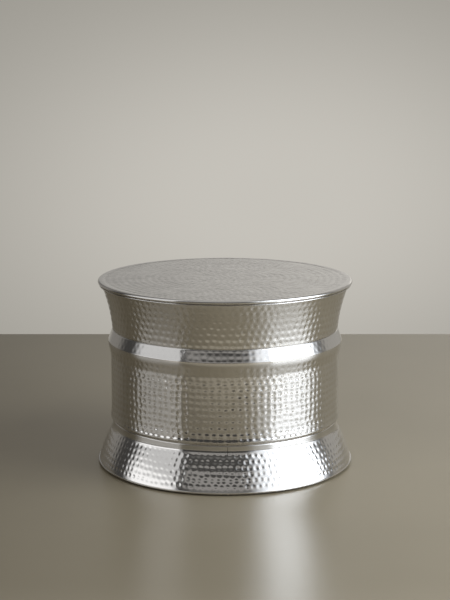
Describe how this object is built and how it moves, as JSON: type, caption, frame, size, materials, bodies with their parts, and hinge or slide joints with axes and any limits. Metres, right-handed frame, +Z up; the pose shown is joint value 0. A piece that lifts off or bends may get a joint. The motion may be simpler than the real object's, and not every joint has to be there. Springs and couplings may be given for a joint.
{
  "type": "drum side table",
  "caption": "Round hammered-metal drum side table: flat top with a rolled edge, flared collar, waisted drum with a raised ridge and a flared skirt on low glides.",
  "frame": {"origin": "on the floor under the middle of the table", "axes": "+Z up along the drum's axis; X and Y lie in the floor and X passes midway between two glides"},
  "size_m": [0.6072, 0.6072, 0.44],
  "materials": {
    "hammered_aluminium": "hammered and polished",
    "steel_wire": "drawn wire",
    "board": "raw board",
    "rivet_metal": "plain",
    "plated_steel": "zinc plated",
    "glide_plastic": "moulded"
  },
  "bodies": {
    "root": {"top_panel": "hammered_aluminium", "rim_wire": "steel_wire", "top_board": "board", "upper_shell": "hammered_aluminium", "middle_shell": "hammered_aluminium", "lower_shell": "hammered_aluminium", "upper_joint_rivets": "rivet_metal", "lower_joint_rivets": "rivet_metal", "base_ring": "plated_steel", "glide_1": "glide_plastic", "glide_2": "glide_plastic", "glide_3": "glide_plastic", "glide_4": "glide_plastic", "glide_5": "glide_plastic", "glide_6": "glide_plastic", "glide_screws": "plated_steel", "glide_washers": "plated_steel", "glide_nuts": "plated_steel"}
  },
  "joints": []
}
